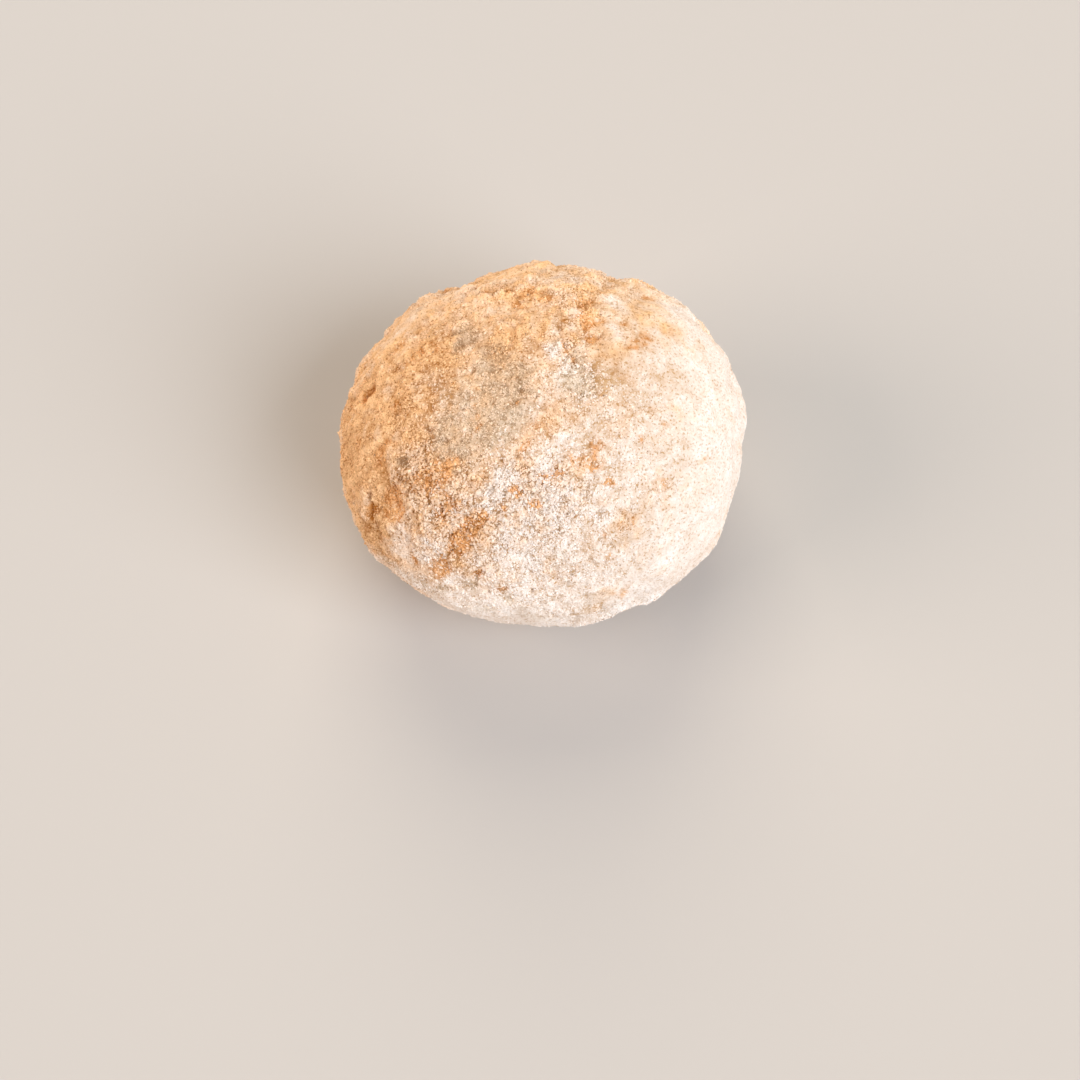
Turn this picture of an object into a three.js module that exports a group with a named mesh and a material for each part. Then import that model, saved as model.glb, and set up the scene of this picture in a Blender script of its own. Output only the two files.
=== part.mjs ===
// One ohagi: a hand-patted ball of glutinous rice and bean paste, rolled in roasted soybean
// flour. It is soft, so it has settled onto a flat round base and is widest below mid height.
// Millimetres, +Z up. The origin is under the middle of the ball, on the surface it rests on.
import * as THREE from 'three';

// Driving dimensions
const HALF_WIDTH = 31.7; // along X
const HALF_DEPTH = 28.6; // along Y
const HEIGHT = 43.5; // from the base to the crown
const WIDEST_LEVEL = 19; // height of the widest section
const UNDERSIDE_DROP = 25; // how far the lower half would reach if the ball had not settled
const FULLNESS = 2.11; // 2 is an ellipsoid, and more is squarer
const SETTLED_BAND = 2.4; // how far above and below the base level the side turns into the flat

// Mounds left by the hands, and hollows with a height below zero. `around` is the bearing in
// degrees from +X, `up` the angle above the widest section and `spread` the angular radius.
const MOUNDS = [
  { around: 25, up: 12, height: 0.5, spread: 26 },
  { around: 87, up: 30, height: 0.7, spread: 8 },
  { around: 114, up: 29, height: -0.5, spread: 12 },
  { around: -16, up: -4, height: -0.6, spread: 14 },
  { around: -80, up: -18, height: 0.6, spread: 13 },
  { around: -155, up: 0, height: 0.45, spread: 14 },
  { around: 72, up: 58, height: 0.45, spread: 15 },
  { around: 18, up: 50, height: 0.35, spread: 12 },
  { around: -128, up: 70, height: -0.4, spread: 17 },
  { around: -18, up: 68, height: -0.25, spread: 8 },
  { around: -139, up: 19, height: -0.55, spread: 9 },
  { around: -74, up: 47, height: 0.3, spread: 13 },
  { around: 178, up: 36, height: -0.3, spread: 8 },
  { around: -45, up: 20, height: 0.25, spread: 14 },
];

// Slight unevenness all over, from patting: the depth of a ripple and how many it has round the ball
const RIPPLE_DEPTH = 0.16;
const RIPPLE_COUNT = new THREE.Vector3(6.3, 7.1, 5.4);
const RIPPLE_PHASE = new THREE.Vector3(0.6, 2.1, 4.0);

// The mesh: columns round the ball, rows from the crown to the last ring, which lies on the base
const COLUMNS = 88;
const ROWS = 43;
const LAST_RING_ANGLE = THREE.MathUtils.degToRad(147);

function unitVector(aroundDegrees, upDegrees) {
  const around = THREE.MathUtils.degToRad(aroundDegrees);
  const up = THREE.MathUtils.degToRad(upDegrees);
  return new THREE.Vector3(
    Math.cos(up) * Math.cos(around),
    Math.cos(up) * Math.sin(around),
    Math.sin(up),
  );
}

// Distance from the middle of the widest section to a smooth superellipsoid
function smoothRadius(direction) {
  const reachUp = direction.z > 0 ? HEIGHT - WIDEST_LEVEL : UNDERSIDE_DROP;
  const sum =
    Math.abs(direction.x / HALF_WIDTH) ** FULLNESS +
    Math.abs(direction.y / HALF_DEPTH) ** FULLNESS +
    Math.abs(direction.z / reachUp) ** FULLNESS;
  return sum ** (-1 / FULLNESS);
}

const mounds = MOUNDS.map(({ around, up, height, spread }) => ({
  middle: unitVector(around, up),
  height,
  falloff: 1 - Math.cos(THREE.MathUtils.degToRad(spread)),
}));

// Each mound is a bell over the angle from its middle
function moundHeight(direction) {
  return mounds.reduce(
    (sum, { middle, height, falloff }) =>
      sum + height * Math.exp((direction.dot(middle) - 1) / falloff),
    0,
  );
}

function rippleHeight(direction) {
  return (
    RIPPLE_DEPTH *
    Math.sin(RIPPLE_COUNT.x * direction.x + RIPPLE_PHASE.x) *
    Math.sin(RIPPLE_COUNT.y * direction.y + RIPPLE_PHASE.y) *
    Math.sin(RIPPLE_COUNT.z * direction.z + RIPPLE_PHASE.z)
  );
}

// The base: level above the band is kept, below the band it is flat, and a parabola joins the two
function settled(level) {
  if (level >= SETTLED_BAND) return level;
  if (level <= -SETTLED_BAND) return 0;
  return (level + SETTLED_BAND) ** 2 / (4 * SETTLED_BAND);
}

function surfacePoint(direction) {
  const radius = smoothRadius(direction) + moundHeight(direction) + rippleHeight(direction);
  const point = direction.clone().multiplyScalar(radius);
  point.z = settled(point.z + WIDEST_LEVEL);
  return point;
}

// A closed grid: the crown, rings down to the base, and the middle of the base
function ballGeometry() {
  const points = [surfacePoint(new THREE.Vector3(0, 0, 1))];
  for (let row = 1; row <= ROWS; row++) {
    const fromCrown = (LAST_RING_ANGLE * row) / ROWS;
    for (let column = 0; column < COLUMNS; column++) {
      const around = (2 * Math.PI * column) / COLUMNS;
      const direction = new THREE.Vector3(
        Math.sin(fromCrown) * Math.cos(around),
        Math.sin(fromCrown) * Math.sin(around),
        Math.cos(fromCrown),
      );
      points.push(surfacePoint(direction));
    }
  }
  points.push(new THREE.Vector3(0, 0, 0));

  const crown = 0;
  const baseMiddle = points.length - 1;
  const at = (row, column) => 1 + (row - 1) * COLUMNS + (column % COLUMNS);
  const triangles = [];
  for (let column = 0; column < COLUMNS; column++) {
    triangles.push(crown, at(1, column), at(1, column + 1));
    for (let row = 1; row < ROWS; row++) {
      triangles.push(at(row, column), at(row + 1, column), at(row + 1, column + 1));
      triangles.push(at(row, column), at(row + 1, column + 1), at(row, column + 1));
    }
    triangles.push(at(ROWS, column), baseMiddle, at(ROWS, column + 1));
  }

  const geometry = new THREE.BufferGeometry().setFromPoints(points).setIndex(triangles);
  geometry.computeBoundingBox();
  const middle = geometry.boundingBox.getCenter(new THREE.Vector3());
  geometry.translate(-middle.x, -middle.y, 0);
  geometry.computeVertexNormals();
  return geometry;
}

const flourCoat = new THREE.MeshStandardMaterial({
  color: '#e9c8a0',
  roughness: 0.96,
  metalness: 0,
});

const ohagi = new THREE.Group();
const ball = new THREE.Mesh(ballGeometry(), flourCoat);
ball.name = 'ohagi';
ohagi.add(ball);

export default ohagi;
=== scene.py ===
"""One ohagi: a hand-patted ball of glutinous rice and bean paste, rolled in roasted soybean flour.

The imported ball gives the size, the outline and the place, in metres, +Z up. On it this script makes the
coat of flour: its lumps, hollows, ridge and cracks as one surface, and the loose grains, granules, clumps
and bean-skin flecks that lie on it as meshes of their own. Lengths on the coat are in millimetres.
"""

import bpy
import numpy as np
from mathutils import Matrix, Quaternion, Vector


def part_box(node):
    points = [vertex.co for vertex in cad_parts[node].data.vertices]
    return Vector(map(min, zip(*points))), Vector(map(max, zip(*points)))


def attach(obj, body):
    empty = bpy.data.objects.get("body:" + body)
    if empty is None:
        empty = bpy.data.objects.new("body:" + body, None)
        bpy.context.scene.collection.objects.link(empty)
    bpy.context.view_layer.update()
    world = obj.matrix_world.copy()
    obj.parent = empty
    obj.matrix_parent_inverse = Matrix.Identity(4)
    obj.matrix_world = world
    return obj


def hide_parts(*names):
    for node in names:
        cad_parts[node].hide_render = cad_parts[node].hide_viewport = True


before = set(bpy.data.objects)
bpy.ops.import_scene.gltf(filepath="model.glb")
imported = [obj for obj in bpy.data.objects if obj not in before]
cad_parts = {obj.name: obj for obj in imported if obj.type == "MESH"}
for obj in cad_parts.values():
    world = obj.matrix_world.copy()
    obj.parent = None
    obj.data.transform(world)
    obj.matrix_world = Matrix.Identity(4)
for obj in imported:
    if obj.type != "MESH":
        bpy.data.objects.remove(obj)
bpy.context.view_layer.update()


# ---- The camera -------------------------------------------------------------------------------------
# It looks steeply down on the ball from the front and a little to the right, as from a chair at the
# table, and is held slightly askew.

CAMERA_PLACE = Vector((0.0173, -0.0996, 0.2002))
CAMERA_AIM = Vector((-0.0021, -0.0079, 0.0))
CAMERA_LEAN = np.radians(-13.1)
LENS = 43.5

camera = bpy.data.objects.new("camera", bpy.data.cameras.new("camera"))
camera.data.lens = LENS
camera.data.sensor_width = 36
camera.data.clip_start = 0.01
camera.location = CAMERA_PLACE
camera.rotation_mode = "QUATERNION"
camera.rotation_quaternion = (CAMERA_AIM - CAMERA_PLACE).to_track_quat("-Z", "Y") @ Quaternion(
    (0, 0, 1), CAMERA_LEAN
)
bpy.context.scene.collection.objects.link(camera)
bpy.context.scene.camera = camera
bpy.context.scene.view_settings.view_transform = "Standard"


# ---- The floor and the light ------------------------------------------------------------------------
# A plain pale table top. A wide window-like panel stands at the right, two warm ones at the left and the
# back fill its shadow, all far enough off to light the floor evenly, and the room gives a faint light.

FLOOR_HALF = 4
FLOOR_COLOUR = (0.50, 0.48, 0.46)
ROOM_LIGHT = (0.19, 0.18, 0.18)
PANEL_DISTANCE = 24
PANEL_SIZE = 16.8


def lit_panel(name, around, up, power, colour):
    """A square panel on a bearing and height in degrees from the ball, turned to face it."""
    around, up = np.radians(around), np.radians(up)
    target = Vector((0, 0, 0.015))
    away = Vector((np.cos(up) * np.cos(around), np.cos(up) * np.sin(around), np.sin(up)))
    panel = bpy.data.objects.new(name, bpy.data.lights.new(name, "AREA"))
    panel.data.shape = "SQUARE"
    panel.data.size = PANEL_SIZE
    panel.data.energy = power
    panel.data.color = colour
    panel.location = target + away * PANEL_DISTANCE
    panel.rotation_euler = (-away).to_track_quat("-Z", "Y").to_euler()
    bpy.context.scene.collection.objects.link(panel)


lit_panel("window", -36, 33, 7660, (0.915, 0.95, 1.0))
lit_panel("left_fill", 190, 28, 4250, (1.0, 0.83, 0.70))
lit_panel("back_fill", 92, 40, 4000, (0.975, 0.865, 0.70))

room = bpy.data.worlds.new("room")
room.use_nodes = True
room.node_tree.nodes["Background"].inputs["Color"].default_value = (*ROOM_LIGHT, 1)
bpy.context.scene.world = room

table_mesh = bpy.data.meshes.new("table")
table_corners = [(-1, -1), (1, -1), (1, 1), (-1, 1)]
table_mesh.from_pydata([(x * FLOOR_HALF, y * FLOOR_HALF, 0) for x, y in table_corners], [], [(0, 1, 2, 3)])
table = bpy.data.objects.new("table", table_mesh)
bpy.context.scene.collection.objects.link(table)

table_paint = bpy.data.materials.new("table_paint")
table_paint.use_nodes = True
table_shader = table_paint.node_tree.nodes["Principled BSDF"]
table_shader.inputs["Base Color"].default_value = (*FLOOR_COLOUR, 1)
table_shader.inputs["Roughness"].default_value = 0.8
table_mesh.materials.append(table_paint)


# ---- The patted ball --------------------------------------------------------------------------------
# Glutinous rice round bean paste, patted by hand. It is wider than it is tall, has settled onto a flat
# base, and keeps the shallow mounds and hollows that fingers and palm left. None of it shows bare.

MM = 0.001
ball_low, ball_high = (np.array(corner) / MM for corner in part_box("ohagi"))
HALF_WIDTH = (ball_high[0] - ball_low[0]) / 2
HALF_DEPTH = (ball_high[1] - ball_low[1]) / 2
HEIGHT = ball_high[2]
WIDEST_LEVEL = 19
UNDERSIDE_DROP = 25
FULLNESS = 2.11
SETTLED_BAND = 2.4

# Each mound or hollow: bearing and height above the widest section in degrees, size in mm, spread in degrees
PALM_MARKS = [
    (25, 12, 0.5, 26), (87, 30, 0.7, 8), (114, 29, -0.5, 12), (-16, -4, -0.6, 14), (-80, -18, 0.6, 13),
    (-155, 0, 0.45, 14), (72, 58, 0.45, 15), (18, 50, 0.35, 12), (-128, 70, -0.4, 17), (-18, 68, -0.25, 8),
    (-139, 19, -0.55, 9), (-74, 47, 0.3, 13), (178, 36, -0.3, 8), (-45, 20, 0.25, 14),
]
RIPPLE_DEPTH = 0.16
RIPPLE_COUNT = np.array([6.3, 7.1, 5.4])
RIPPLE_PHASE = np.array([0.6, 2.1, 4.0])


def direction_of(around, up):
    """The unit vector of a bearing and a height in degrees: cos up cos around, cos up sin around, sin up."""
    around, up = np.radians(around), np.radians(up)
    return np.array([np.cos(up) * np.cos(around), np.cos(up) * np.sin(around), np.sin(up)])


def bell(directions, around, up, spread):
    """1 at one direction, falling off as exp((cos angle - 1) / (1 - cos spread)) round it."""
    closeness = directions @ direction_of(around, up)
    return np.exp((closeness - 1) / (1 - np.cos(np.radians(spread))))


def palm_relief(directions):
    """The sum over the palm marks of each one's size times its bell."""
    return sum(size * bell(directions, around, up, spread) for around, up, size, spread in PALM_MARKS)


def ball_surface(directions, extra=0.0):
    """Points in mm on the ball in unit directions from the middle of its widest section.

    The distance is (|x/a|^p + |y/b|^p + |z/c|^p)^(-1/p), with a longer c below than above, plus the
    palm marks, a ripple that is the product of three sines, and `extra`. A level within the settled
    band of the base is bent onto it by a parabola, and one below the band lies on it.
    """
    reach_up = np.where(directions[..., 2] > 0, HEIGHT - WIDEST_LEVEL, UNDERSIDE_DROP)
    reach = np.stack([np.full_like(reach_up, HALF_WIDTH), np.full_like(reach_up, HALF_DEPTH), reach_up], -1)
    distance = (np.abs(directions / reach) ** FULLNESS).sum(-1) ** (-1 / FULLNESS)
    ripple = RIPPLE_DEPTH * np.sin(RIPPLE_COUNT * directions + RIPPLE_PHASE).prod(-1)
    points = directions * (distance + palm_relief(directions) + ripple + extra)[..., None]
    level = points[..., 2] + WIDEST_LEVEL
    bent = np.clip(level + SETTLED_BAND, 0, None) ** 2 / (4 * SETTLED_BAND)
    points[..., 2] = np.where(level >= SETTLED_BAND, level, bent)
    return points


# ---- The flour coat ---------------------------------------------------------------------------------
# Roasted soybean flour pressed onto the damp rice. It lies thin and smooth over a patch of the crown,
# and thick and lumpy above a low ridge behind it. Damp shows through it as orange-brown clusters. Its
# hollows, pits, cracks and the gaps between grains are painted darker as shade, partly with the damp's
# orange-brown, and the tops of its clumps lighter as painted light.

COAT_CELLS = 312
BASE_FADE = 1.6


def folded_square(cells):
    """Unit directions on a square grid that is folded round a ball, its border meeting at the bottom.

    Square rings become circles: the larger of |u| and |v| is the radius, and the smaller over the
    larger turns through an eighth of a circle. The share of the ball inside a radius r is
    0.78 r^2 + 0.22 r^10, so that the crown and sides have the finer squares.
    """
    steps = np.linspace(-1, 1, cells + 1)
    u, v = np.meshgrid(steps, steps, indexing="ij")
    radius = np.maximum(np.abs(u), np.abs(v))
    safe = np.where(radius > 0, radius, 1)
    from_u = np.where(u < 0, np.pi - np.pi / 4 * v / safe, np.pi / 4 * v / safe)
    from_v = np.where(v < 0, -np.pi / 2 + np.pi / 4 * u / safe, np.pi / 2 - np.pi / 4 * u / safe)
    around = np.where(np.abs(u) >= np.abs(v), from_u, from_v)
    share = 0.78 * radius**2 + 0.22 * radius**10
    height = 1 - 2 * share
    out = np.sqrt(np.clip(1 - height**2, 0, None))
    return np.stack([out * np.cos(around), out * np.sin(around), height], -1)


def cell_number(cells, salt):
    """A fixed number from 0 to 1 for each whole-numbered cell: its counts times odd factors, mixed."""
    mixed = cells[..., 0] * 73856093 ^ cells[..., 1] * 19349663 ^ cells[..., 2] * 83492791
    mixed = (mixed ^ salt * 2654435) & 0x7FFFFFFF
    mixed = ((mixed ^ mixed >> 13) * 1274126177) & 0x7FFFFFFF
    mixed = ((mixed ^ mixed >> 11) * 668265263) & 0x7FFFFFFF
    return (mixed ^ mixed >> 15) / 0x7FFFFFFF


def drift(points, size, salt):
    """Smooth noise from about -1 to 1 with lumps `size` mm wide.

    Each corner of a cubic lattice has a slope of its own, and the eight slopes round a point are
    blended by 6t^5 - 15t^4 + 10t^3 along each axis.
    """
    scaled = points / size + 0.37 * salt
    corner = np.floor(scaled).astype(np.int64)
    inside = scaled - corner
    weight = inside**3 * (inside * (inside * 6 - 15) + 10)
    total = np.zeros(points.shape[:-1])
    for step in np.ndindex(2, 2, 2):
        slope = np.stack([cell_number(corner + step, salt + axis) * 2 - 1 for axis in range(3)], -1)
        share = np.where(step, weight, 1 - weight).prod(-1)
        total += share * (slope * (inside - step)).sum(-1)
    return total * 1.6


def heaps(points, size, salt):
    """Distance to the nearest scattered middle, in units of `size` mm, and that middle's own number.

    Each cell of a cubic lattice holds one middle at a place of its own.
    """
    scaled = points / size + 0.61 * salt
    home = np.floor(scaled).astype(np.int64)
    nearest = np.full(points.shape[:-1], 9.0)
    number = np.zeros(points.shape[:-1])
    for step in np.ndindex(3, 3, 3):
        cell = home + step - 1
        middle = cell + np.stack([cell_number(cell, salt + axis) for axis in range(3)], -1)
        distance = np.linalg.norm(scaled - middle, axis=-1)
        closer = distance < nearest
        nearest = np.where(closer, distance, nearest)
        number = np.where(closer, cell_number(cell, salt + 3), number)
    return nearest, number


def ramp(values, start, end):
    """0 up to `start`, 1 from `end`, and 3t^2 - 2t^3 between them."""
    t = np.clip((values - start) / (end - start), 0, 1)
    return t * t * (3 - 2 * t)


# Patches of the coat: bearing and height in degrees, spread in degrees, strength. A negative strength
# takes away. Tone spots are darker than the coat round them, or lighter if negative.
THIN_PATCHES = [
    (-113, 72, 8, 1), (-114, 84, 6, 0.8), (-150, 76, 15, 0.55), (168, 79, 5, 0.8), (-120, 62, 6, 0.8),
    (-128, 53, 6, 0.8), (-144, 56, 5, 0.9), (-150, 66, 6, 0.5), (146, 66, 4, 1.2), (158, 65, 3, 0.9),
    (-20, 73, 5, 0.7), (-27, 68, 5, 0.6), (5, 73, 3, 0.7), (40, 77, 3, 0.6), (-147, 40, 2.5, 1.4),
    (-138, 52, 4, 0.5), (-80, 26, 6, 0.4), (-119, 8, 2.5, 0.8), (-111, 12, 2.5, 0.8), (-99, 9, 4, 0.6),
    (-108, 1, 6, 0.6), (-125, 3, 6, 0.5), (-92, -3, 7, 0.5), (-140, 4, 6, 0.4), (100, 22, 8, 0.6),
    (165, 8, 7, 0.4), (60, 8, 8, 0.4), (20, -4, 7, 0.4),
]
DAMP_PATCHES = [
    (-96, 47.5, 1.5, 2.8), (-129, 50, 2, 1.1), (-92, 60, 3, 0.7), (-100, 42, 2, 1), (-88, 43, 2.5, 1),
    (-58, 50, 3, 0.9), (-52, 53, 2.5, 0.9), (-56, 43, 1.6, 1), (-66, 54, 3, 0.6), (-75, 50, 3, 0.8),
    (-83, 51, 2.5, 0.5), (-78, 66, 4, 0.5), (-110, 38, 2.5, 1.7), (-112, 34, 2.5, 1.8),
    (-114, 30, 2.5, 1.8), (-115, 26, 2.5, 1.6), (-119, 20, 3, 1.2), (-121, 15, 3, 1.3),
    (-128, 14, 1.8, 1.3), (-108, 19, 2, 0.9), (-101, 14, 2.5, 0.6), (-133, 44, 5, 0.55),
    (-136, 40, 5, 0.65), (-128, 47, 4, 0.5), (-121, 40, 3, 0.8), (-123, 35, 3, 0.9), (-142, 26, 4, 1.3),
    (-142, 31, 3, 1.1), (-138, 27, 2.5, 1.2), (-147, 19, 2.5, 1.2), (178, 32, 2.2, 2.4), (176, 35, 2, 2.4),
    (-170, 45, 3, 0.8), (-158, 37, 3, 0.6), (160, 43, 3, 0.7), (165, 51, 5, 0.6), (113, 53, 2.5, 0.8),
    (102, 56, 2.5, 1.1), (89, 58, 3, 1.1), (97, 64, 2.5, 0.8), (92, 69, 2, 0.8), (54, 58, 3.5, 0.9),
    (42, 62, 4, 0.8), (54, 69, 2, 0.5), (60, 52, 3, 0.6), (20, 67, 3, 0.6), (12, 54, 3, 0.8),
    (27, 54, 1.2, 0.8), (18, 49, 3, 0.6), (21, 40, 3.5, 0.5), (39, 35, 4, 0.6), (-34, 45, 2.2, 0.7),
    (-21, 41, 2.2, 0.6), (-24, 26, 2.5, 0.5), (-57, 30, 3.5, 0.8), (-41, 33, 4, 0.5), (-65, 29, 3, 0.4),
    (-66, 21, 3, 0.5), (-67, 4, 4, 0.7), (-156, 71, 1.2, 0.7), (-146, 69, 1.2, 0.8), (-138, 67.5, 1.2, 0.8),
    (-132, 65.5, 1.2, 0.8), (-127, 63, 1.2, 0.8), (-105, 75, 1.6, 0.5), (24, 75, 2.5, 0.6),
    (3, 74, 2.5, 0.6), (120, 30, 10, 0.6), (60, 20, 9, 0.5), (-172, 12, 9, 0.5), (95, 8, 5, 0.7),
    (140, 14, 5, 0.6), (5, 2, 6, 0.5), (62, 24, 3, 0.9), (72, 12, 4, 0.8), (48, 8, 3, 0.8),
    (-168, 28, 3, 0.6), (-154, 33, 4, 0.6), (79, 61, 3, 0.8), (35, 64, 4, 0.7), (163, 54, 3, 0.5),
    (158, 57, 3, 0.5), (68, 61, 1.5, 0.6),
]
# The pale patches make the flour paler on the right and front, towards the window panel, and warmer on the
# left and back: partly the flour's own colour and partly painted light and shade from those sides.
PALE_PATCHES = [
    (-8, 8, 42, 0.7), (-85, 2, 34, 0.55), (-62, 38, 20, 0.25), (-104, 45, 8, 0.25), (-133, 22, 5, 0.6),
    (-126, 25, 4, 0.4), (-106, 46, 3, 0.5), (-71, 60, 3, 0.4), (43, 51, 3, 0.6), (26, 58, 3, 0.5),
    (33, 38, 4, 0.4), (26, 80, 3.5, 0.7), (-148, 66, 4, 0.4), (5, 45, 14, 0.3), (140, 38, 9, 0.2),
    (84, 40, 7, 0.25), (-92, -8, 30, 0.5), (-75, 5, 20, 0.25), (-85, 30, 10, 0.25), (-62, 58, 8, 0.35),
    (-81, 55, 4, 0.4), (-38, 62, 6, 0.35), (30, 22, 7, 0.4), (-2, 59, 4, -0.25), (-103, 62, 4, 0.25),
    (-165, 46, 6, -0.25), (60, 0, 24, -0.3), (-56, 40, 4, 0.25), (-103, -8, 8, 0.3), (10, 61, 4, -0.3),
    (180, 38, 20, -0.35), (110, 45, 25, -0.15), (-157, 25, 8, -0.35), (-142, 27, 4, -0.4),
    (-131, 44, 7, -0.3), (-114, 31, 4, -0.4), (168, 60, 6, -0.35), (-176, 66, 5, -0.25), (59, 53, 4, -0.3),
    (-43, 34, 4, -0.25), (28, 26, 7, 0.45), (-20, 72, 6, 0.6), (-45, -6, 9, 0.35), (-105, 3, 5, 0.35),
    (-129, 28, 4, -0.2), (-86, 58, 4, 0.3), (-20, 52, 12, 0.3), (-46, -6, 6, 0.3), (-178, 58, 5, 0.25),
    (122, 46, 5, 0.25), (-59, 45, 3, 0.2), (-112, 60, 5, 0.15), (5, 8, 6, 0.2), (-88, 55, 3, -0.4),
    (-74, 54, 3, -0.35), (-115, 41, 3, -0.3), (55, 61, 3, -0.2), (-84, 22, 4, -0.2), (-167, 19, 6, -0.25),
    (-85, 34, 4, -0.25), (-114, 20, 3, -0.2), (146, 31, 5, -0.2), (-47, -7, 6, 0.2), (33, 44, 3, 0.2),
    (-80, 58, 3, 0.2), (-145, -3, 4, 0.5), (-138, 4, 4, 0.3), (-111, 20, 3, -0.15), (-83, 25, 3, -0.15),
    (-122, -2, 5, 0.15), (-152, 9, 4, -0.2), (-58, 45, 3, 0.25), (-34, 44, 4, 0.2), (-47, 44, 3, 0.15),
    (-65, 34, 3, 0.15), (-56, 18, 4, 0.15), (-112, 49, 3, -0.2), (-66, 49, 3, -0.2), (-103, 39, 3, -0.2),
    (-87, 39, 3, -0.2), (8, 17, 5, 0.3), (-35, 24, 5, -0.1), (36, 55, 3, 0.2), (14, 63, 3, 0.15),
    (44, 46, 3, 0.15), (129, 67, 3, 0.15), (64, 48, 4, 0.15), (99, 39, 4, 0.1), (55, 62, 3, -0.2),
    (81, 38, 5, -0.2), (35, 43, 3, -0.15), (108, 50, 4, -0.15), (18, 71, 3, -0.15), (138, 48, 4, 0.2),
    (-178, 55, 4, 0.15), (-177, 29, 5, -0.2), (145, 32, 5, -0.15), (163, 71, 3, -0.15), (-34, 38, 6, 0.25),
    (-29, 31, 4, 0.15), (1, 41, 5, 0.25), (29, 25, 6, 0.25), (-24, 37, 4, 0.2), (-76, 59, 4, 0.25),
    (-105, 3, 5, 0.2), (-54, 54, 3, 0.25), (-126, 73, 8, 0.15), (22, 66, 3, 0.3), (87, 60, 3, -0.25),
    (152, 79, 4, -0.25), (-73, 3, 4, -0.2), (-99, 17, 3, -0.15), (-110, 19, 3, -0.15), (-122, -2, 5, 0.15),
    (-168, 17, 4, -0.2), (-146, 10, 4, -0.15), (-156, 38, 3, 0.15), (156, 31, 4, 0.2), (132, 58, 4, 0.15),
    (-172, 53, 3, 0.15), (173, 59, 3, 0.12), (59, 69, 3, -0.2), (51, 30, 4, -0.1), (24, 55, 3, -0.15),
    (34, 44, 4, -0.12), (107, 53, 3, -0.12), (33, 64, 3, 0.1), (-104, 31, 3, -0.15), (-86, 55, 3, -0.2),
    (-82, 48, 3, -0.2), (-66, 50, 3, -0.2), (-83, 27, 3, -0.15), (-51, 24, 4, 0.12), (-55, 69, 3, 0.12),
    (-80, 65, 3, -0.15), (-141, 39, 2.5, -0.15), (-155, 38, 3, -0.2), (-151, 34, 2.5, -0.2),
    (50, 50, 5, -0.12), (9, 18, 6, 0.25), (-164, 20, 4, -0.2), (-99, 45, 2.5, -0.3), (-165, 19, 4, -0.25),
    (-63, 50, 3, -0.15), (-130, 31, 2.5, -0.2),
]
CALM_PATCHES = [
    (-12, 14, 34, 1.1), (25, 36, 18, 0.85), (8, 62, 8, 0.6), (92, 68, 7, 0.5), (152, 34, 16, 0.6),
    (-170, 24, 12, 0.4), (95, 38, 18, 0.5), (-55, 4, 18, 0.7), (-95, -12, 16, 0.9), (-116, -4, 9, 0.7),
    (80, -10, 30, 0.3),
]
GRAINY_PATCHES = [
    (-125, 32, 16, 1.1), (-97, 46, 12, 0.9), (-140, 44, 9, 0.8), (-75, 45, 14, 0.7), (-92, 22, 14, 0.4),
    (-20, 70, 8, 0.5), (20, 76, 8, 0.7), (60, 58, 11, 0.5), (100, 55, 9, 0.4), (-165, 50, 10, 0.4),
    (120, 15, 16, 0.6), (60, 14, 16, 0.7), (-175, 0, 14, 0.5),
]
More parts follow.
